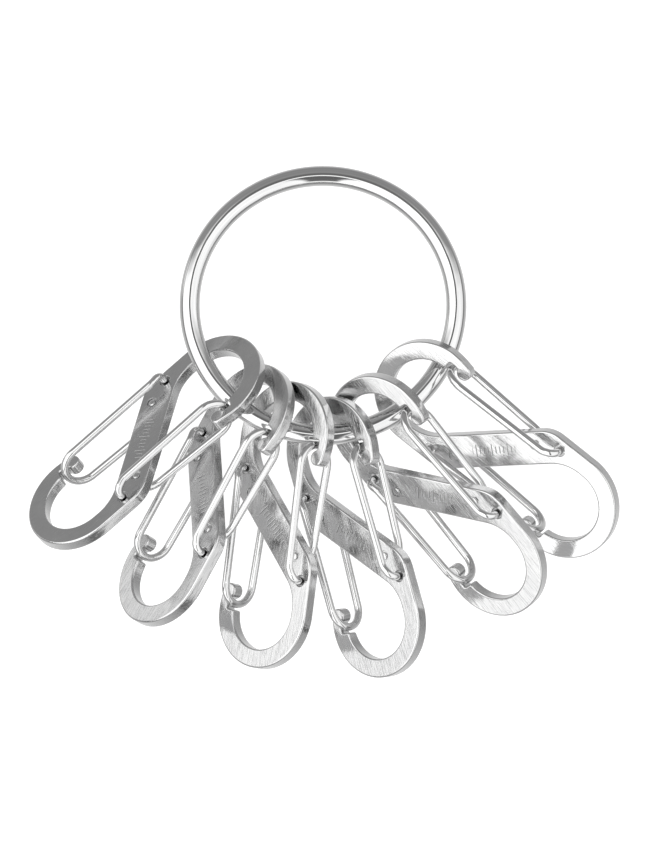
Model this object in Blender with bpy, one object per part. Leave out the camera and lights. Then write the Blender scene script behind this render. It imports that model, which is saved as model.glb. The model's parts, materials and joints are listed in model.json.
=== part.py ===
"""Keyring of one closed steel wire ring and six flat S-shaped carabiners.

Each carabiner is a steel plate with two hooks, turned half a turn from each other, and
two sprung wire gates.  The hook at the plate's +Y end hangs on the ring (ring gate); the
hook at the -Y end takes keys (key gate).

Plate frame: X to the right, Y towards the ring, Z out of the front face, origin at the
middle of the plate, which is also its point of symmetry.  Everything is drawn in
millimetres there and scaled to metres when the mesh is made.

World frame: the keyring lies on a table, +Z up, the carabiners fan out towards -Y, and
the origin is at the middle of the bounding box's underside.
"""

import math

import bmesh
import bpy
from mathutils import Euler, Matrix, Vector

MM = 0.001

# --- wire ring -----------------------------------------------------------------------
RING_OUTER_D = 50.8
RING_WIRE_D = 3.6
RING_TILT = 9.4            # the side that the carabiners hang on is lifted by this, degrees
RING_SEGMENTS = 56
RING_SIDES = 10

# --- carabiner plate -----------------------------------------------------------------
PLATE_T = 2.3
LOOP_X, LOOP_Y = 0.6, -15.5        # centre of the key loop; the ring loop's is (-x, -y)
LOOP_OUTER_R = 10.0
LOOP_INNER_R = 6.7
SHOULDER_X, SHOULDER_Y = 10.25, -5.9   # where the loop's straight side meets the spine
SHOULDER_R = 5.5
INNER_CORNER_R = 7.5
SPINE_TOP = (-5.0, 9.4)            # a point that the spine's edge line runs to
INNER_CORNER = (-7.3, 11.6)        # where the spine's edge line meets the ring loop
HEAD_X, HEAD_Y, HEAD_R = 7.65, 12.5, 1.35   # round head on the ring hook's end
NECK_X = 7.62                      # inner side of the neck behind the head
STEP_Y = 15.85                     # hook end, where the full bar width begins

# --- wire gates ----------------------------------------------------------------------
WIRE_D = 1.4
PIVOT = (8.3, -9.3)                # front foot of the ring gate, its hinge
PIVOT_HOLE_R = 1.02
REAR_FOOT = (6.1, -5.1)            # rear foot of the ring gate
REAR_SLOT_R = 1.05
REAR_SLOT_DEPTH = 1.4
GATE_TRAVEL = 20.0                 # largest inward swing, degrees
# corners of the ring gate's wire, each with its bend radius: front foot, front leg, nose
# (an arc about NOSE), rear leg, rear foot
FRONT_LEG = (((8.3, -9.3, -1.0), 0), ((8.3, -9.3, 3.1), 1.4), ((7.35, -7.2, 3.5), 2.5))
REAR_LEG = (((6.25, -3.0, -3.5), 2.5), ((6.1, -5.1, -3.1), 1.3), ((6.1, -5.1, -0.1), 0))
NOSE = (6.5, 11.2, 3.58)           # x, y and radius of the U at the nose

# --- how the six lie: middle of the plate from the ring's centre, then the plate's turn
# about the vertical, its slope and its twist about its own length, in mm and degrees ---
LAY = (
    (-31.1, -24.5, 2.3, -50.4, 2.4, 45.0),
    (-20.5, -33.9, 3.7, -29.8, 1.1, 47.9),
    (-8.2, -39.2, 4.1, -8.7, 0.8, 39.9),
    (5.8, -41.3, 5.0, 13.7, -4.1, 41.3),
    (20.3, -33.8, 4.6, 38.6, -0.4, 40.4),
    (30.6, -25.6, 3.2, 49.3, -4.7, 31.6),
)


def arc(cx, cy, r, start, stop, steps):
    """Points along an arc, angles in degrees, both ends included."""
    turn = [math.radians(start + (stop - start) * k / steps) for k in range(steps + 1)]
    return [(cx + r * math.cos(a), cy + r * math.sin(a)) for a in turn]


def fillet(a, b, c, r, steps):
    """Points of the arc of radius r that rounds the corner b between a and c."""
    a, b, c = Vector(a), Vector(b), Vector(c)
    u, v = (a - b).normalized(), (c - b).normalized()
    half = u.angle(v) / 2
    centre = b + (u + v).normalized() * (r / math.sin(half))
    p = b + u * (r / math.tan(half)) - centre
    q = b + v * (r / math.tan(half)) - centre
    start = math.atan2(p.y, p.x)
    turn = (math.atan2(q.y, q.x) - start + math.pi) % (2 * math.pi) - math.pi
    return [
        (centre.x + r * math.cos(start + turn * k / steps),
         centre.y + r * math.sin(start + turn * k / steps))
        for k in range(steps + 1)
    ]


def half_outline():
    """One half of the plate's edge, from the key hook's head to the ring hook's head."""
    side_x = LOOP_X + LOOP_OUTER_R
    shoulder = (SHOULDER_X, SHOULDER_Y)
    pts = arc(-HEAD_X, -HEAD_Y, HEAD_R, 80, 180, 3)
    pts += arc(LOOP_X, LOOP_Y, LOOP_OUTER_R, 180, 360, 18)
    pts += fillet((side_x, LOOP_Y), shoulder, SPINE_TOP, SHOULDER_R, 5)
    pts += fillet(shoulder, INNER_CORNER, (INNER_CORNER[0], -LOOP_Y), INNER_CORNER_R, 4)
    pts += arc(-LOOP_X, -LOOP_Y, LOOP_INNER_R, 180, 0, 15)[:-1]
    pts += [(6.15, STEP_Y + 0.05), (NECK_X - 0.35, STEP_Y - 0.1)]
    pts += [(NECK_X, STEP_Y - 0.4), (NECK_X, 14.1)]
    pts += arc(HEAD_X, HEAD_Y, HEAD_R, 118, 250, 5)
    return pts


def prism(name, outline, low, high):
    """A straight-sided solid over a counter-clockwise outline, between two heights."""
    bm = bmesh.new()
    face = bm.faces.new([bm.verts.new((x, y, low)) for x, y in outline])
    face.normal_update()
    if face.normal.z > 0:
        face.normal_flip()
    up = bmesh.ops.extrude_face_region(bm, geom=[face])
    moved = [g for g in up["geom"] if isinstance(g, bmesh.types.BMVert)]
    bmesh.ops.translate(bm, verts=moved, vec=(0, 0, high - low))
    bmesh.ops.recalc_face_normals(bm, faces=bm.faces)
    mesh = bpy.data.meshes.new(name)
    bm.to_mesh(mesh)
    bm.free()
    obj = bpy.data.objects.new(name, mesh)
    bpy.context.scene.collection.objects.link(obj)
    return obj


def swing_slot(sign):
    """Outline of the slot that the rear foot sweeps, for one gate."""
    px, py = PIVOT
    dx, dy = REAR_FOOT[0] - px, REAR_FOOT[1] - py
    reach, start = math.hypot(dx, dy), math.degrees(math.atan2(dy, dx))
    stop = start + GATE_TRAVEL
    outer = arc(px, py, reach + REAR_SLOT_R, start, stop, 4)
    inner = arc(px, py, reach - REAR_SLOT_R, stop, start, 4)
    ends = []
    for angle, side in ((stop, 0), (start, 180)):
        a = math.radians(angle)
        cx, cy = px + reach * math.cos(a), py + reach * math.sin(a)
        ends.append(arc(cx, cy, REAR_SLOT_R, angle + side, angle + side + 180, 8)[1:-1])
    pts = outer + ends[0] + inner + ends[1]
    return [(sign * x, sign * y) for x, y in pts]


def cut(body, cutter):
    """Subtract the cutter from the body."""
    mod = body.modifiers.new("cut", "BOOLEAN")
    mod.operation = "DIFFERENCE"
    mod.solver = "EXACT"
    mod.object = cutter


def bake(obj):
    """A mesh with the object's modifiers applied."""
    bpy.context.view_layer.update()
    graph = bpy.context.evaluated_depsgraph_get()
    return bpy.data.meshes.new_from_object(obj.evaluated_get(graph), depsgraph=graph)


def plate_mesh():
    """The S plate in its own frame, in millimetres."""
    half = half_outline()
    outline = half + [(-x, -y) for x, y in half]
    body = prism("plate_blank", outline, -PLATE_T / 2, PLATE_T / 2)
    cutters = []
    for sign in (1, -1):
        hole = arc(sign * PIVOT[0], sign * PIVOT[1], PIVOT_HOLE_R, 0, 360, 16)[:-1]
        cutters.append(prism("hole", hole, -PLATE_T, PLATE_T))
        floor = -PLATE_T / 2 + REAR_SLOT_DEPTH
        cutters.append(prism("slot", swing_slot(sign), -PLATE_T, floor))
    for cutter in cutters:
        cut(body, cutter)
    mesh = bake(body)
    for obj in [body] + cutters:
        bpy.data.objects.remove(obj)
    return mesh


def bend(a, b, c, r, steps):
    """Points of the arc of radius r that rounds the corner b of a wire, in space."""
    u, v = (a - b).normalized(), (c - b).normalized()
    half = u.angle(v) / 2
    centre = b + (u + v).normalized() * (r / math.sin(half))
    out = b + u * (r / math.tan(half)) - centre
    across = (out.cross(b - centre)).cross(out).normalized() * r
    total = math.pi - 2 * half
    return [centre + out * math.cos(total * k / steps) + across * math.sin(total * k / steps)
            for k in range(steps + 1)]


def wire_path(bend_steps, nose_steps):
    """Centre line of the ring gate's wire."""
    x, y, r = NOSE
    nose = [Vector((x, y + r * math.sin(math.pi * k / nose_steps),
                    r * math.cos(math.pi * k / nose_steps))) for k in range(nose_steps + 1)]

    def leg(corners, before, after):
        where = [before] + [Vector(p) for p, _ in corners] + [after]
        out = []
        for k, (p, radius) in enumerate(corners, 1):
            if radius:
                out += bend(where[k - 1], where[k], where[k + 1], radius, bend_steps)
            else:
                out.append(Vector(p))
        return out

    return leg(FRONT_LEG, None, nose[0]) + nose + leg(REAR_LEG, nose[-1], None)


def gate_mesh():
    """The ring gate's bent wire, in the plate's frame, in millimetres."""
    path = wire_path(4, 8)
    curve = bpy.data.curves.new("gate_wire", "CURVE")
    curve.dimensions = "3D"
    curve.bevel_depth = WIRE_D / 2
    curve.bevel_resolution = 2
    curve.render_resolution_u = 0
    curve.use_fill_caps = True
    spline = curve.splines.new("POLY")
    spline.points.add(len(path) - 1)
    for point, p in zip(spline.points, path):
        point.co = (p.x, p.y, p.z, 1.0)
    obj = bpy.data.objects.new("gate_wire", curve)
    bpy.context.scene.collection.objects.link(obj)
    mesh = bake(obj)
    bpy.data.objects.remove(obj)
    return mesh


def steel(name, colour, roughness):
    mat = bpy.data.materials.new(name)
    mat.use_nodes = True
    shader = mat.node_tree.nodes["Principled BSDF"]
    shader.inputs["Base Color"].default_value = (*colour, 1.0)
    shader.inputs["Metallic"].default_value = 1.0
    shader.inputs["Roughness"].default_value = roughness
    return mat


def place(name, mesh, where, anchor, mat, parent):
    """A named object whose mesh is drawn at `where` and whose origin is at `anchor`."""
    mesh = mesh.copy()
    mesh.name = name
    mesh.transform(Matrix.Scale(MM, 4))
    mesh.transform(Matrix.Translation(-anchor) @ where)
    mesh.materials.clear()
    mesh.materials.append(mat)
    mesh.shade_smooth()
    mesh.set_sharp_from_angle(angle=math.radians(35))
    obj = bpy.data.objects.new(name, mesh)
    bpy.context.scene.collection.objects.link(obj)
    obj.location = anchor
    obj.parent = parent
    return obj


def lay_matrix(x, y, z, turn, slope, twist):
    """Where a plate lies, from the ring's centre."""
    spin = Matrix.Rotation(math.radians(turn), 4, "Z")
    spin = spin @ Matrix.Rotation(math.radians(slope), 4, "X")
    spin = spin @ Matrix.Rotation(-math.radians(twist), 4, "Y")
    return Matrix.Translation(Vector((x, y, z)) * MM) @ spin


def main():
    for obj in list(bpy.data.objects):
        bpy.data.objects.remove(obj)

    root = bpy.data.objects.new("keyring_frame", None)
    bpy.context.scene.collection.objects.link(root)

    # the ring, about its own centre, then tilted
    bpy.ops.mesh.primitive_torus_add(
        major_segments=RING_SEGMENTS, minor_segments=RING_SIDES,
        major_radius=(RING_OUTER_D - RING_WIRE_D) / 2 * MM,
        minor_radius=RING_WIRE_D / 2 * MM)
    ring = bpy.context.active_object
    ring.name = ring.data.name = "ring"
    ring.rotation_euler = Euler((-math.radians(RING_TILT), 0, 0))
    ring.data.materials.append(steel("polished_ring", (0.80, 0.80, 0.80), 0.08))
    ring.data.shade_smooth()
    ring.parent = root

    plate = plate_mesh()
    wire = gate_mesh()
    plate_steel = steel("satin_plate", (0.70, 0.70, 0.69), 0.22)
    wire_steel = steel("bright_wire", (0.80, 0.80, 0.79), 0.14)
    half_turn = Matrix.Rotation(math.pi, 4, "Z")
    pivot = Vector((PIVOT[0], PIVOT[1], 0)) * MM
    objects = [ring]
    for number, lay in enumerate(LAY, 1):
        where = lay_matrix(*lay)
        label = f"carabiner_{number}_"
        centre = Vector((0, 0, 0))
        objects.append(place(label + "plate", plate, where, centre, plate_steel, root))
        for kind, turned in (("ring_gate", where), ("key_gate", where @ half_turn)):
            objects.append(
                place(label + kind, wire, turned, turned @ pivot, wire_steel, root))
    for mesh in (plate, wire):
        bpy.data.meshes.remove(mesh)

    # bring the underside of the whole to the table and its middle to the origin
    bpy.context.view_layer.update()
    corners = [o.matrix_world @ v.co for o in objects for v in o.data.vertices]
    low = Vector([min(c[k] for c in corners) for k in range(3)])
    high = Vector([max(c[k] for c in corners) for k in range(3)])
    root.location = (-(low.x + high.x) / 2, -(low.y + high.y) / 2, -low.z)
    bpy.context.view_layer.update()


main()
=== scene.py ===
"""Looks of the carabiner keyring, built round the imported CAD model.

Each CAD solid is replaced by a finer one of the same size: plates with rounded edges,
holes and foot marks, gates of round bent wire, and a smooth wire ring.  A plate and its
gates are drawn in millimetres in the plate's own frame (X right, Y towards the ring, Z out
of the front face, origin in the middle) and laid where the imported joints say.
"""

import json
import math

import bpy
from mathutils import Matrix, Vector
from mathutils.geometry import delaunay_2d_cdt


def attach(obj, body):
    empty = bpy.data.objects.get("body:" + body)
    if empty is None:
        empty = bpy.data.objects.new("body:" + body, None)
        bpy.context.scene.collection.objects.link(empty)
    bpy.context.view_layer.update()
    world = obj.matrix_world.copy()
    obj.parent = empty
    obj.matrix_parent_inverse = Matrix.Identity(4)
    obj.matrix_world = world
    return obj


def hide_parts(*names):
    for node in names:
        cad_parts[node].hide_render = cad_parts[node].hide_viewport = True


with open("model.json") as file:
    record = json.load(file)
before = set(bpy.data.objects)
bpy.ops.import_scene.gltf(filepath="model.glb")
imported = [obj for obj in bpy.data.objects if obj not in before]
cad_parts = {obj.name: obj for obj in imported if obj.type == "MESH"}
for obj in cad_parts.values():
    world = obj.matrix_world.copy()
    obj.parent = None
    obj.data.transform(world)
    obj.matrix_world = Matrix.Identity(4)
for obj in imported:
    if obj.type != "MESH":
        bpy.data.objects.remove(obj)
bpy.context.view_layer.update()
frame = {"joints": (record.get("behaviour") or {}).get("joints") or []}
JOINTS = {j["name"]: j for j in frame["joints"]}
MM = 0.001
OWN = "own_place"           # where a point lies on its own piece, for the materials
TOUCH = 1e-7                # points of a flat face closer than this are one, millimetres

# --- wire ring ---------------------------------------------------------------------
RING_R = 23.6
RING_WIRE_R = 1.8

# --- plate -------------------------------------------------------------------------
PLATE_T = 2.3
LOOP = (0.6, -15.5)
LOOP_OUTER_R = 10.0
LOOP_INNER_R = 6.7
SHOULDER = (10.25, -5.9)
SHOULDER_R = 5.5
SPINE_TOP = (-5.0, 9.4)
INNER_CORNER = (-7.3, 11.6)
INNER_CORNER_R = 7.5
HEAD = (7.65, 12.5)         # the round head of the hook, which the gate's nose goes round
HEAD_R = 1.35
TIP = (6.1, 15.86)          # corners of the notch behind it, where the nose rests
NOTCH = (7.62, 15.66)
NECK = (7.62, 13.98)
NECK_END = (6.9, 13.64)
TIP_R = 0.42
NECK_R = 0.5
EDGE_R = 0.32
EDGE_STEPS = 5
HOLE_EDGE_R = 0.12
MARK_EDGE_R = 0.08
PIVOT = (8.3, -9.3)
PIVOT_HOLE_R = 1.02
REAR_FOOT = (6.1, -5.1)
REAR_SLOT_R = 1.05
REAR_SLOT_DEPTH = 1.4
GATE_TRAVEL = 20.0
FOOT_MARK_R = 0.97
# the rear foot's end in its mark, from the rim inwards: radius, height over the front
# face, and the normal's share outwards and upwards
FOOT_MARK = (
    (FOOT_MARK_R, -0.32, -1, 0.2), (FOOT_MARK_R - 0.04, -0.34, 0, 1), (0.70, -0.34, 0, 1),
    (0.68, -0.31, 1, 0.1), (0.68, -0.10, 1, 0.15), (0.65, -0.03, 1, 1),
    (0.56, 0.01, 0.5, 1), (0.36, 0.04, 0.18, 1), (0.18, 0.05, 0.08, 1))
FOOT_MARK_TOP = 0.055

# --- etched scale on the spine -----------------------------------------------------
TICK_PITCH = 0.75
TICK_SPAN = 4.1             # half the length of the row
TICK_EDGE = (0.10, 0.15)    # a stroke's side fades between these, in pitches
TICK_GROUP = 4.0            # the first stroke of each group is a tall one
TICK_TALL = 1.15            # half the height of a stroke
TICK_SHORT = 0.65
TICK_FADE = 0.06            # from a stroke's end inwards
ROW_FADE = 0.02             # past the row's end
TICK_DEPTH = (0.15, 0.05)   # the etching fades in between these, under the front face

# --- plate steel: noise scales per metre, X Y Z -------------------------------------
GRAIN_SCALE = (9000, 500, 2500)
GRAIN_TURN = 8              # degrees
SCRATCH_SCALE = (6500, 260, 2500)
SCRATCH_TURN = 52
SCRATCH_RANGE = (0.52, 0.66)    # a scratch fades in between these values of its noise
CLOUD_SCALE = 190.0
RIPPLE_SCALE = 85.0
PLATE_ROUGH = (0.06, 0.13)
PLATE_TONES = ((0.0, (0.36, 0.36, 0.36)), (0.30, (0.60, 0.60, 0.605)),
               (0.70, (0.72, 0.72, 0.715)))
PLATE_APART = 0.02          # between pieces in the materials' space, metres
BUMP_DEPTH = 0.00012        # of the plate's bump height 1, metres
CROWN = 1.5                 # the face falls off by this times the square of Y, in metres

# --- wire steel: noise scales along the wire per metre, and round it per width -------
WAVE_SCALE = (160, 0.5)
LINE_SCALE = (60, 5)
RING_ROUGH = (0.04, 0.09)
GATE_ROUGH = (0.06, 0.11)
WIRE_TONES = ((0.3, (0.64, 0.64, 0.645)), (0.7, (0.80, 0.80, 0.795)))
LINE_HEIGHT = 0.10          # of the draw lines, against the waves' 1
WIRE_BUMP = 0.022           # height of the waves, in widths of the wire
NOISE_RANGE = (0.3, 0.7)    # most of a noise's values lie between these

# --- gate --------------------------------------------------------------------------
WIRE_R = 0.7
# corners of the ring gate's wire, each with its bend radius: front foot, front leg, nose
# (an arc about NOSE), rear leg, rear foot
FRONT_LEG = (((*PIVOT, -1.0), 0), ((*PIVOT, 3.1), 1.4), ((7.35, -7.2, 3.5), 2.5))
REAR_LEG = (((6.25, -3.0, -3.5), 2.5), ((*REAR_FOOT, -3.1), 1.3), ((*REAR_FOOT, -0.1), 0))
NOSE = (6.5, 11.2, 3.58)           # x, y and radius of the U at the nose
FOOT_ROUND = 0.22
FOOT_STEPS = 5

# --- studio: the light's strength from each direction, a unit vector with X to the right,
# Y to the back and Z up; a pair is where a zone starts to fade and where it has faded ---
GAP_SIDE = (0.12, 0.18)     # the gap between the light banks, in X,
GAP_MIDDLE = (0.05, 0.10)   # in Y, where it is closed straight overhead,
GAP_RISE = (0.35, 0.50)     # and in Z
ROOM_BACK = (0.40, 0.62)    # the dark room behind, in Y and in Z
ROOM_RISE = (-0.50, -0.20)
TABLE_LEVEL = -0.02         # the dark edge of the table, in Z
TABLE_EDGE = (0.07, 0.13)
TABLE_SHARE = 0.92          # how much of the dark the edge takes
BANK_SIDE = (-0.2, 0.3)     # from the left bank to the right one, in X
BANK_LIGHT = (1.75, 1.30)
BANK_RISE = (0.0, 0.5)      # both banks fade towards the table
BANK_FADE = (0.72, 1.0)
LOW_RISE = (-0.20, -0.9)    # the light from below grows downwards
LOW_LIGHT = (0.44, 0.84)
HORIZON = (-0.06, 0.0)      # from the light below to the banks
DARK_LIGHT = 0.17           # in the gap and along the table's edge
ROOM_LIGHT = 0.34
CARD = (-0.906, 0.403, -0.131)     # the way to the middle of the white card
CARD_EDGE = (0.9877, 0.9962)       # cosine of the angle from there: 9 and 5 degrees
CARD_LIGHT = 1.05
FLOOR_SIZE = 6.0
FLOOR_TONE = 0.60
FLOOR_GLOW = 0.66
FLOOR_DROP = 0.016          # the slides turn about a tilted axis, and dip nearly this far

# --- camera: looks down from the front of the table, almost straight ---------------
CAMERA_LEAN = 3.6           # degrees from straight down
CAMERA_FAR = 1.5            # metres, as are the next ones
CAMERA_CLIP = 20.0
VIEW_HEIGHT = 0.1496
VIEW_CENTRE = (0.00035, -0.0208)   # of the picture, from the middle of the ring
SENSOR = 24.0               # millimetres


# ------------------------------------------------------------------ plane geometry
def arc(cx, cy, r, start, stop, steps):
    """Points along an arc, angles in degrees, both ends included."""
    turn = [math.radians(start + (stop - start) * k / steps) for k in range(steps + 1)]
    return [(cx + r * math.cos(a), cy + r * math.sin(a)) for a in turn]


def fillet(a, b, c, r, steps):
    """Points of the arc of radius r that rounds the corner b between a and c."""
    a, b, c = Vector(a), Vector(b), Vector(c)
    u, v = (a - b).normalized(), (c - b).normalized()
    half = u.angle(v) / 2
    centre = b + (u + v).normalized() * (r / math.sin(half))
    p = b + u * (r / math.tan(half)) - centre
    q = b + v * (r / math.tan(half)) - centre
    start = math.atan2(p.y, p.x)
    turn = (math.atan2(q.y, q.x) - start + math.pi) % (2 * math.pi) - math.pi
    return [
        (centre.x + r * math.cos(start + turn * k / steps),
         centre.y + r * math.sin(start + turn * k / steps))
        for k in range(steps + 1)
    ]


def tangent_angle(c1, r1, c2, r2):
    """Angle, in degrees, of the outer line that touches two circles on their left."""
    d = Vector(c1) - Vector(c2)
    return math.degrees(math.atan2(d.y, d.x) + math.acos((r2 - r1) / d.length))


def plate_outline():
    """The S plate's edge, counter-clockwise."""
    hx, hy = HEAD
    lx, ly = LOOP
    side = tangent_angle((-hx, -hy), HEAD_R, LOOP, LOOP_OUTER_R)
    end = arc(-lx, -ly, LOOP_INNER_R, 180, 6, 60)
    pts = arc(-hx, -hy, HEAD_R, 82, side, 14)
    pts += arc(lx, ly, LOOP_OUTER_R, side, 360, 76)
    pts += fillet((lx + LOOP_OUTER_R, ly), SHOULDER, SPINE_TOP, SHOULDER_R, 20)
    pts += fillet(SHOULDER, INNER_CORNER, (INNER_CORNER[0], -ly), INNER_CORNER_R, 24)
    pts += end
    pts += fillet(end[-1], TIP, NOTCH, TIP_R, 8)
    pts += fillet(TIP, NOTCH, NECK, TIP_R, 6)
    pts += fillet(NOTCH, NECK, NECK_END, NECK_R, 5)
    pts += arc(hx, hy, HEAD_R, 122, 258, 22)
    return pts + [(-x, -y) for x, y in pts]


def slot_outline(sign):
    """The slot in the back that the rear foot sweeps, for one gate."""
    px, py = PIVOT
    dx, dy = REAR_FOOT[0] - px, REAR_FOOT[1] - py
    reach, start = math.hypot(dx, dy), math.degrees(math.atan2(dy, dx))
    stop = start + GATE_TRAVEL
    outer = arc(px, py, reach + REAR_SLOT_R, start, stop, 6)
    inner = arc(px, py, reach - REAR_SLOT_R, stop, start, 6)
    ends = []
    for angle, side in ((stop, 0), (start, 180)):
        a = math.radians(angle)
        cx, cy = px + reach * math.cos(a), py + reach * math.sin(a)
        ends.append(arc(cx, cy, REAR_SLOT_R, angle + side, angle + side + 180, 16)[1:-1])
    return [(sign * x, sign * y) for x, y in outer + ends[0] + inner + ends[1]]


def edge_normals(loop):
    """Outward unit normal and mitre at each point of a counter-clockwise loop."""
    out = []
    n = len(loop)
    for k in range(n):
        a, b, c = Vector(loop[k - 1]), Vector(loop[k]), Vector(loop[(k + 1) % n])
        u, v = (b - a).normalized(), (c - b).normalized()
        m = Vector((u.y + v.y, -u.x - v.x)).normalized()
        out.append((m, 1.0 / max(0.5, m.dot(Vector((u.y, -u.x))))))
    return out


def inside(p, loop):
    """Whether a point lies inside a closed loop."""
    hit = False
    x, y = p
    for k in range(len(loop)):
        (x1, y1), (x2, y2) = loop[k - 1], loop[k]
        if (y1 > y) != (y2 > y) and x < (x2 - x1) * (y - y1) / (y2 - y1) + x1:
            hit = not hit
    return hit


# -------------------------------------------------------------------- mesh builder
class Shell:
    """Collects vertices with their normals, and faces."""

    def __init__(self):
        self.co, self.no, self.faces = [], [], []
        self.own = []           # the points' own places, where these aren't the positions

    def ring(self, points, normals):
        """Adds points with their normals, and returns their numbers."""
        start = len(self.co)
        self.co += [Vector(p) for p in points]
        self.no += [Vector(n).normalized() for n in normals]
        return list(range(start, len(self.co)))

    def bridge(self, a, b):
        """A band of faces between two closed rings."""
        for k in range(len(a)):
            j = (k + 1) % len(a)
            self.faces.append((a[k], a[j], b[j], b[k]))

    def fan(self, loop, tip, normal):
        """Closes a ring with faces to a new point in its middle."""
        t = self.ring([tip], [normal])[0]
        for k in range(len(loop)):
            self.faces.append((loop[k], loop[(k + 1) % len(loop)], t))

    def flat(self, loops):
        """Fills a flat face between the first loop and the others, which are holes."""
        ids = [i for loop in loops for i in loop]
        flat = [self.co[i].xy for i in ids]
        edges, at = [], 0
        for loop in loops:
            n = len(loop)
            edges += [(at + k, at + (k + 1) % n) for k in range(n)]
            at += n
        shapes = [[tuple(self.co[i].xy) for i in loop] for loop in loops]
        co, _, tris, source, _, _ = delaunay_2d_cdt(flat, edges, [], 0, TOUCH)
        for tri in tris:
            mid = sum((co[i] for i in tri), Vector((0, 0))) / 3
            if not inside(mid, shapes[0]) or any(inside(mid, s) for s in shapes[1:]):
                continue
            self.faces.append(tuple(ids[source[i][0]] for i in tri))

    def mesh(self, name, place, local):
        """The mesh laid at `place`; `local` moves each point's own place for the material."""
        # each face is turned to the side that its normals point to
        faces = []
        for face in self.faces:
            a, b, c = (self.co[i] for i in face[:3])
            out = (b - a).cross(c - a).dot(sum((self.no[i] for i in face), Vector()))
            faces.append(face if out > 0 else face[::-1])
        data = bpy.data.meshes.new(name)
        data.from_pydata([place @ (v * MM) for v in self.co], [], faces)
        data.update()
        for poly in data.polygons:
            poly.use_smooth = True
        turn = place.to_3x3()
        data.normals_split_custom_set_from_vertices([turn @ n for n in self.no])
        own = data.attributes.new(OWN, "FLOAT_VECTOR", "POINT")
        for item, v in zip(own.data, self.own or self.co):
            item.vector = local @ (v * MM)
        return data


def rim(shell, loop, z, up, r, hole):
    """The rounded edge of a loop at a flat face: rings from the wall to the face."""
    normals = edge_normals(loop)
    rings = []
    for k in range(EDGE_STEPS + 1):
        a = math.pi / 2 * k / EDGE_STEPS
        inset = r * (1 - math.cos(a))
        height = z - up * r * (1 - math.sin(a))
        sign = -1 if hole else 1
        pts = [(p[0] - sign * m.x * inset * s, p[1] - sign * m.y * inset * s, height)
               for p, (m, s) in zip(loop, normals)]
        nor = [(sign * m.x * math.cos(a), sign * m.y * math.cos(a), up * math.sin(a))
               for m, _ in normals]
        rings.append(shell.ring(pts, nor))
    return rings


def stack(shell, rings):
    """Bands of faces from each ring to the next."""
    for a, b in zip(rings, rings[1:]):
        shell.bridge(a, b)


def lathe(shell, centre, profile, level, top):
    """Turned surface from the ring `top` inwards; returns its last ring.

    The profile holds radius, height over `level`, and the normal's shares out and up.
    """
    cx, cy = centre
    angle = [2 * math.pi * k / len(top) for k in range(len(top))]
    rings = [top]
    for r, z, out, up in profile:
        rings.append(shell.ring(
            [(cx + r * math.cos(a), cy + r * math.sin(a), level + z) for a in angle],
            [(out * math.cos(a), out * math.sin(a), up) for a in angle]))
    stack(shell, rings)
    return rings[-1]


def plate_shell():
    """The S plate with its two pivot holes, foot marks and rear slots."""
    shell = Shell()
    half = PLATE_T / 2
    outline = plate_outline()
    up = rim(shell, outline, half, 1, EDGE_R, False)
    down = rim(shell, outline, -half, -1, EDGE_R, False)
    shell.bridge(down[0], up[0])
    stack(shell, up)
    stack(shell, down)
    front, back = [up[-1]], [down[-1]]
    for sign in (1, -1):
        # the front foot's hole goes right through
        hole = arc(sign * PIVOT[0], sign * PIVOT[1], PIVOT_HOLE_R, 0, 360, 40)[:-1]
        top = rim(shell, hole, half, 1, HOLE_EDGE_R, True)
        low = rim(shell, hole, -half, -1, HOLE_EDGE_R, True)
        shell.bridge(low[0], top[0])
        stack(shell, top)
        stack(shell, low)
        front.append(top[-1])
        back.append(low[-1])
        # the rear foot's end shows on the front as a disc in its hole
        cx, cy = sign * REAR_FOOT[0], sign * REAR_FOOT[1]
        mark = arc(cx, cy, FOOT_MARK_R, 0, 360, 40)[:-1]
        top = rim(shell, mark, half, 1, MARK_EDGE_R, True)
        stack(shell, top)
        front.append(top[-1])
        last = lathe(shell, (cx, cy), FOOT_MARK, half, top[0])
        shell.fan(last, (cx, cy, half + FOOT_MARK_TOP), (0, 0, 1))
        # and swings in a blind slot in the back
        slot = slot_outline(sign)
        low = rim(shell, slot, -half, -1, MARK_EDGE_R, True)
        stack(shell, low)
        back.append(low[-1])
        deep = -half + REAR_SLOT_DEPTH
        wall = edge_normals(slot)
        floor = shell.ring([(x, y, deep) for x, y in slot],
                           [(-m.x, -m.y, -1.0) for m, _ in wall])
        shell.bridge(low[0], floor)
        shell.flat([floor])
    shell.flat(front)
    shell.flat(back)
    return shell


def bend(a, b, c, r, steps):
    """Points of the arc of radius r that rounds the corner b of a wire, in space."""
    u, v = (a - b).normalized(), (c - b).normalized()
    half = u.angle(v) / 2
    centre = b + (u + v).normalized() * (r / math.sin(half))
    out = b + u * (r / math.tan(half)) - centre
    across = (out.cross(b - centre)).cross(out).normalized() * r
    total = math.pi - 2 * half
    return [centre + out * math.cos(total * k / steps) + across * math.sin(total * k / steps)
            for k in range(steps + 1)]


def wire_path(bend_steps, nose_steps):
    """Centre line of the ring gate's wire."""
    x, y, r = NOSE
    nose = [Vector((x, y + r * math.sin(math.pi * k / nose_steps),
                    r * math.cos(math.pi * k / nose_steps))) for k in range(nose_steps + 1)]

    def leg(corners, before, after):
        where = [before] + [Vector(p) for p, _ in corners] + [after]
        out = []
        for k, (p, radius) in enumerate(corners, 1):
            if radius:
                out += bend(where[k - 1], where[k], where[k + 1], radius, bend_steps)
            else:
                out.append(Vector(p))
        return out

    return leg(FRONT_LEG, None, nose[0]) + nose + leg(REAR_LEG, nose[-1], None)


def unrolled(along, turn, r):
    """A point of a wire as if the wire were straight, so that its grain follows it."""
    return Vector((along, r * math.cos(turn), r * math.sin(turn)))


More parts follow.
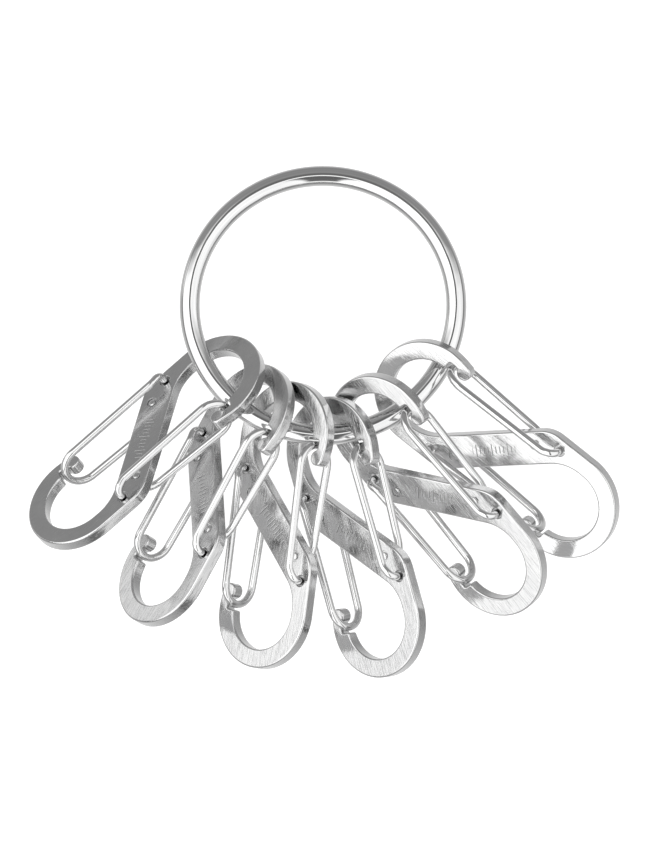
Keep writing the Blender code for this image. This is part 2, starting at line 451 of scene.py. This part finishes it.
def gate_shell(sides=28):
    """Round wire along the gate's path, with rounded ends."""
    path = wire_path(bend_steps=9, nose_steps=36)
    tangents = []
    for k in range(len(path)):
        a, b = path[max(k - 1, 0)], path[min(k + 1, len(path) - 1)]
        tangents.append((b - a).normalized())
    stations = [(p, t, WIRE_R, 0.0) for p, t in zip(path, tangents)]

    def rounded(p, t, way):
        """The wire's end at p, which faces way * t."""
        out = []
        for k in range(FOOT_STEPS + 1):
            g = math.pi / 2 * k / FOOT_STEPS
            back = FOOT_ROUND * (1 - math.sin(g))
            out.append((p - t * (way * back), t,
                        WIRE_R - FOOT_ROUND * (1 - math.cos(g)), way * math.sin(g)))
        return out

    first, last = stations[0], stations[-1]
    head = rounded(first[0], first[1], -1)[::-1]
    tail = rounded(last[0], last[1], 1)
    shell = Shell()
    across = Vector((1, 0, 0))
    rings = []
    along, before = 0.0, first[0]
    for p, t, r, slant in head + stations[1:-1] + tail:
        along += (p - before).length
        before = p
        across = (across - t * across.dot(t)).normalized()
        b = t.cross(across)
        angle = [2 * math.pi * k / sides for k in range(sides)]
        side = [across * math.cos(g) + b * math.sin(g) for g in angle]
        flat = math.sqrt(max(0.0, 1 - slant * slant))
        rings.append(shell.ring([p + d * r for d in side],
                                [d * flat + t * slant for d in side]))
        shell.own += [unrolled(along, g, r) for g in angle]
    stack(shell, rings)
    shell.fan(rings[0], first[0], -first[1])
    shell.fan(rings[-1], last[0], last[1])
    shell.own += [unrolled(0, 0, 0), unrolled(along, 0, 0)]
    return shell


def ring_shell(around=288, sides=48):
    """The wire ring, about Z."""
    shell = Shell()
    rings = []
    for k in range(around):
        a = 2 * math.pi * k / around
        out = Vector((math.cos(a), math.sin(a), 0))
        angle = [2 * math.pi * s / sides for s in range(sides)]
        nor = [out * math.cos(g) + Vector((0, 0, math.sin(g))) for g in angle]
        rings.append(shell.ring([out * RING_R + n * RING_WIRE_R for n in nor], nor))
        shell.own += [unrolled(RING_R * math.sin(a), g, RING_WIRE_R) for g in angle]
    stack(shell, rings + rings[:1])
    return shell


# ----------------------------------------------------------------------- materials
class Nodes:
    """Adds nodes to a tree; an input is a value or another node's socket."""

    def __init__(self, tree):
        self.tree = tree

    def add(self, kind, inputs=None, **settings):
        node = self.tree.nodes.new(kind)
        for key, value in settings.items():
            setattr(node, key, value)
        for key, value in (inputs or {}).items():
            if isinstance(value, bpy.types.NodeSocket):
                self.tree.links.new(value, node.inputs[key])
            else:
                node.inputs[key].default_value = value
        return node

    def math(self, operation, a, b=0.0):
        return self.add("ShaderNodeMath", {0: a, 1: b}, operation=operation).outputs[0]

    def total(self, *terms):
        """The sum of values, each times its weight."""
        parts = [self.math("MULTIPLY", value, weight) for value, weight in terms]
        while len(parts) > 1:
            parts[:2] = [self.math("ADD", parts[0], parts[1])]
        return parts[0]

    def mix(self, share, low, high):
        return self.add("ShaderNodeMix", {0: share, 2: low, 3: high}).outputs[0]

    def noise(self, vector, scale, detail, rough):
        return self.add("ShaderNodeTexNoise", {
            "Vector": vector, "Scale": scale, "Detail": detail,
            "Roughness": rough}).outputs["Fac"]

    def stretch(self, vector, scale, turn=0.0):
        return self.add("ShaderNodeMapping", {
            "Vector": vector, "Scale": scale,
            "Rotation": (0, 0, math.radians(turn))}).outputs[0]

    def remap(self, value, low, high, to_low, to_high):
        return self.add("ShaderNodeMapRange", {
            "Value": value, "From Min": low, "From Max": high,
            "To Min": to_low, "To Max": to_high}).outputs[0]

    def ramp(self, value, stops):
        node = self.add("ShaderNodeValToRGB", {"Fac": value})
        band = node.color_ramp
        while len(band.elements) < len(stops):
            band.elements.new(0.5)
        for element, (at, grey) in zip(band.elements, stops):
            element.position = at
            element.color = (*grey, 1)
        return node.outputs["Color"]


def metal(name):
    """A bare metal, with its shader and the own place of each point."""
    mat = bpy.data.materials.new(name)
    mat.use_nodes = True
    shader = mat.node_tree.nodes["Principled BSDF"]
    shader.inputs["Metallic"].default_value = 1.0
    kit = Nodes(mat.node_tree)
    where = kit.add("ShaderNodeAttribute", attribute_name=OWN).outputs["Vector"]
    return mat, shader, kit, where


def finish_metal(kit, shader, colour, roughness, height, depth):
    """Links a metal's colour and roughness, and a bump whose height 1 is `depth`."""
    links = kit.tree.links
    links.new(colour, shader.inputs["Base Color"])
    links.new(roughness, shader.inputs["Roughness"])
    bump = kit.add("ShaderNodeBump", {"Height": height, "Strength": 1.0, "Distance": depth})
    links.new(bump.outputs[0], shader.inputs["Normal"])


def plate_steel():
    """Tumbled stainless steel: long fine grain, a few cross scratches, slow ripple, and a
    plain etched scale on the front of the spine."""
    mat, shader, kit, where = metal("satin_plate_steel")
    grain = kit.noise(kit.stretch(where, GRAIN_SCALE, GRAIN_TURN), 1.0, 4.0, 0.6)
    cross = kit.noise(kit.stretch(where, SCRATCH_SCALE, SCRATCH_TURN), 1.0, 2.0, 0.5)
    cloud = kit.noise(where, CLOUD_SCALE, 3.0, 0.55)
    ripple = kit.noise(where, RIPPLE_SCALE, 1.5, 0.4)
    scratch = kit.remap(cross, *SCRATCH_RANGE, 0.0, 1.0)
    etch = etched_scale(kit, where)
    # tumbling has left the faces slightly crowned along their length
    along = kit.add("ShaderNodeSeparateXYZ", {0: where}).outputs[1]
    crown = kit.math("MULTIPLY", along, along)
    tone = kit.total((grain, 0.55), (cloud, 0.45), (scratch, -0.08), (etch, -0.45))
    satin = kit.remap(cloud, *NOISE_RANGE, *PLATE_ROUGH)
    rough = kit.total((satin, 1.0), (scratch, 0.08), (etch, 0.25))
    height = kit.total((grain, 0.06), (ripple, 1.1), (scratch, -0.045), (etch, -0.25),
                       (crown, -CROWN / BUMP_DEPTH))
    finish_metal(kit, shader, kit.ramp(tone, PLATE_TONES), rough, height, BUMP_DEPTH)
    return mat


def etched_scale(kit, where):
    """1 on the etched ticks: a row of short strokes along the middle of the spine."""
    x, y, z = kit.add("ShaderNodeSeparateXYZ", {0: where}).outputs
    diagonal = 1 / (MM * math.sqrt(2))
    along = kit.total((y, diagonal), (x, -diagonal))
    over = kit.total((y, diagonal), (x, diagonal))
    # the scale starts far outside the row, so that the strokes are counted from 0 up
    count = kit.math("DIVIDE", kit.math("ADD", along, 100 * TICK_PITCH), TICK_PITCH)
    step = kit.math("SUBTRACT", kit.math("FRACT", count), 0.5)
    stroke = kit.remap(kit.math("ABSOLUTE", step), *TICK_EDGE, 1.0, 0.0)
    place = kit.math("MODULO", kit.math("FLOOR", count), TICK_GROUP)
    tall = kit.remap(place, 0.0, 0.5, TICK_TALL, TICK_SHORT)
    side = kit.math("SUBTRACT", tall, kit.math("ABSOLUTE", over))
    side = kit.remap(side, 0.0, TICK_FADE, 0.0, 1.0)
    length = kit.remap(kit.math("ABSOLUTE", along), TICK_SPAN, TICK_SPAN + ROW_FADE, 1.0, 0.0)
    # plates are PLATE_APART apart in the material's space; the front is at +PLATE_T / 2
    level = kit.math("MODULO", kit.math("ADD", z, PLATE_APART / 2), PLATE_APART)
    face = PLATE_APART / 2 + PLATE_T / 2 * MM
    deep, shallow = TICK_DEPTH
    front = kit.remap(level, face - deep * MM, face - shallow * MM, 0.0, 1.0)
    mask = kit.math("MULTIPLY", kit.math("MULTIPLY", stroke, side), length)
    return kit.math("MULTIPLY", mask, front)


def wire_steel(name, width, low, high):
    """Bright drawn wire, from roughness `low` to `high`: draw lines along it, and slow
    waves in what it reflects."""
    mat, shader, kit, where = metal(name)
    along, across = WAVE_SCALE
    wave = kit.noise(kit.stretch(where, (along, across / width, across / width)),
                     1.0, 2.0, 0.5)
    along, across = LINE_SCALE
    lines = kit.noise(kit.stretch(where, (along, across / width, across / width)),
                      1.0, 3.0, 0.6)
    rough = kit.remap(wave, *NOISE_RANGE, low, high)
    height = kit.total((wave, 1.0), (lines, LINE_HEIGHT))
    finish_metal(kit, shader, kit.ramp(lines, WIRE_TONES), rough, height,
                 WIRE_BUMP * width)
    return mat


def floor_white():
    """A matt white floor that glows a little, so that it stays white under the camera."""
    mat = bpy.data.materials.new("studio_floor")
    mat.use_nodes = True
    shader = mat.node_tree.nodes["Principled BSDF"]
    shader.inputs["Base Color"].default_value = (FLOOR_TONE, FLOOR_TONE, FLOOR_TONE, 1)
    shader.inputs["Roughness"].default_value = 0.9
    shader.inputs["Specular IOR Level"].default_value = 0.0
    shader.inputs["Emission Color"].default_value = (1, 1, 1, 1)
    shader.inputs["Emission Strength"].default_value = FLOOR_GLOW
    return mat


# ------------------------------------------------------------------------ placing
def shown(name, shell, where, local, body, node, mat):
    """A visible piece that stands for one CAD node."""
    mesh = shell.mesh(name, where, local)
    mesh.materials.append(mat)
    obj = bpy.data.objects.new(name, mesh)
    bpy.context.scene.collection.objects.link(obj)
    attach(obj, body)
    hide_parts(node)


def basis(x, y, z, origin):
    """The frame with these axes and this origin."""
    m = Matrix((x, y, z)).transposed().to_4x4()
    m.translation = origin
    return m


def plate_place(number):
    """The plate's frame from the two hinges on it."""
    ring_foot = JOINTS[f"carabiner_{number}_ring_gate_hinge"]
    key_foot = JOINTS[f"carabiner_{number}_key_gate_hinge"]
    a, b = Vector(ring_foot["pos_m"]), Vector(key_foot["pos_m"])
    z = Vector(ring_foot["axis"]).normalized()
    turn = -math.atan2(PIVOT[1], PIVOT[0])
    x = Matrix.Rotation(turn, 3, z) @ (a - b).normalized()
    return basis(x, z.cross(x), z, (a + b) / 2)


def world_light():
    """A white studio tent: two light banks with a gap between them, a dark room behind,
    the dark edge of the table, and a white card at table height on the left."""
    world = bpy.data.worlds.new("studio")
    bpy.context.scene.world = world
    world.use_nodes = True
    tree = world.node_tree
    kit = Nodes(tree)
    way = kit.add("ShaderNodeTexCoord").outputs["Generated"]
    x, y, z = kit.add("ShaderNodeSeparateXYZ", {0: way}).outputs
    # the gap runs from front to back overhead
    gap = kit.remap(kit.math("ABSOLUTE", x), *GAP_SIDE, 1.0, 0.0)
    ends = kit.remap(kit.math("ABSOLUTE", y), *GAP_MIDDLE, 0.0, 1.0)
    gap = kit.math("MULTIPLY", gap, ends)
    gap = kit.math("MULTIPLY", gap, kit.remap(z, *GAP_RISE, 0.0, 1.0))
    room = kit.remap(y, *ROOM_BACK, 0.0, 1.0)
    room = kit.math("MULTIPLY", room, kit.remap(z, *ROOM_RISE, 0.0, 1.0))
    edge = kit.math("ABSOLUTE", kit.math("SUBTRACT", z, TABLE_LEVEL))
    edge = kit.remap(edge, *TABLE_EDGE, TABLE_SHARE, 0.0)
    toward = kit.add("ShaderNodeVectorMath", {0: way, 1: CARD}, operation="DOT_PRODUCT")
    card = kit.remap(toward.outputs["Value"], *CARD_EDGE, 0.0, 1.0)
    bank = kit.math("MULTIPLY", kit.remap(x, *BANK_SIDE, *BANK_LIGHT),
                    kit.remap(z, *BANK_RISE, *BANK_FADE))
    low = kit.remap(z, *LOW_RISE, *LOW_LIGHT)
    light = kit.mix(kit.remap(z, *HORIZON, 0.0, 1.0), low, bank)
    light = kit.mix(kit.math("MAXIMUM", gap, edge), light, DARK_LIGHT)
    light = kit.mix(room, light, ROOM_LIGHT)
    light = kit.mix(card, light, CARD_LIGHT)
    sky = tree.nodes["Background"]
    sky.inputs["Color"].default_value = (1, 1, 1, 1)
    tree.links.new(light, sky.inputs["Strength"])


def camera(centre):
    """The camera, aimed from the middle of the ring."""
    lean = math.radians(CAMERA_LEAN)
    back = Vector((0, -math.sin(lean), math.cos(lean)))
    up = Vector((0, math.cos(lean), math.sin(lean)))
    target = centre + Vector((VIEW_CENTRE[0], 0, 0)) + up * VIEW_CENTRE[1]
    data = bpy.data.cameras.new("camera")
    data.sensor_fit = "VERTICAL"
    data.sensor_height = SENSOR
    data.lens = SENSOR * CAMERA_FAR / VIEW_HEIGHT
    data.clip_end = CAMERA_CLIP
    obj = bpy.data.objects.new("camera", data)
    bpy.context.scene.collection.objects.link(obj)
    obj.matrix_world = basis(Vector((1, 0, 0)), up, back, target + back * CAMERA_FAR)
    bpy.context.scene.camera = obj


def main():
    ring_joint = JOINTS["carabiner_4_slide"]
    centre = Vector(ring_joint["pos_m"])
    z = Vector(ring_joint["axis"]).normalized()
    x = Vector((1, 0, 0))
    ring_place = basis(x, z.cross(x), z, centre)

    ring_mat = wire_steel("polished_ring_steel", 2 * RING_WIRE_R * MM, *RING_ROUGH)
    gate_mat = wire_steel("bright_wire_steel", 2 * WIRE_R * MM, *GATE_ROUGH)
    plate_mat = plate_steel()

    same = Matrix.Identity(4)
    shown("wire_ring", ring_shell(), ring_place, same, "ring", "ring",
          ring_mat)
    half_turn = Matrix.Rotation(math.pi, 4, "Z")
    plate = plate_shell()
    gate = gate_shell()
    for number in range(1, 7):
        place = plate_place(number)
        body = f"carabiner_{number}"
        # every piece has its own stretch of grain
        apart = Matrix.Translation((0, 0, PLATE_APART * number))
        shown(f"s_plate_{number}", plate, place, apart, body, body + "_plate",
              plate_mat)
        for kind, turn in (("ring_gate", same), ("key_gate", half_turn)):
            shown(f"{kind}_wire_{number}", gate, place @ turn, apart @ turn,
                  f"{body}_{kind}", f"{body}_{kind}", gate_mat)

    bpy.ops.mesh.primitive_plane_add(size=FLOOR_SIZE, location=(0, 0, -FLOOR_DROP))
    floor = bpy.context.active_object
    floor.name = "floor"
    floor.data.materials.append(floor_white())
    floor.visible_glossy = False
    world_light()
    camera(centre)
    bpy.context.scene.view_settings.view_transform = "Standard"


main()
bpy.context.view_layer.update()
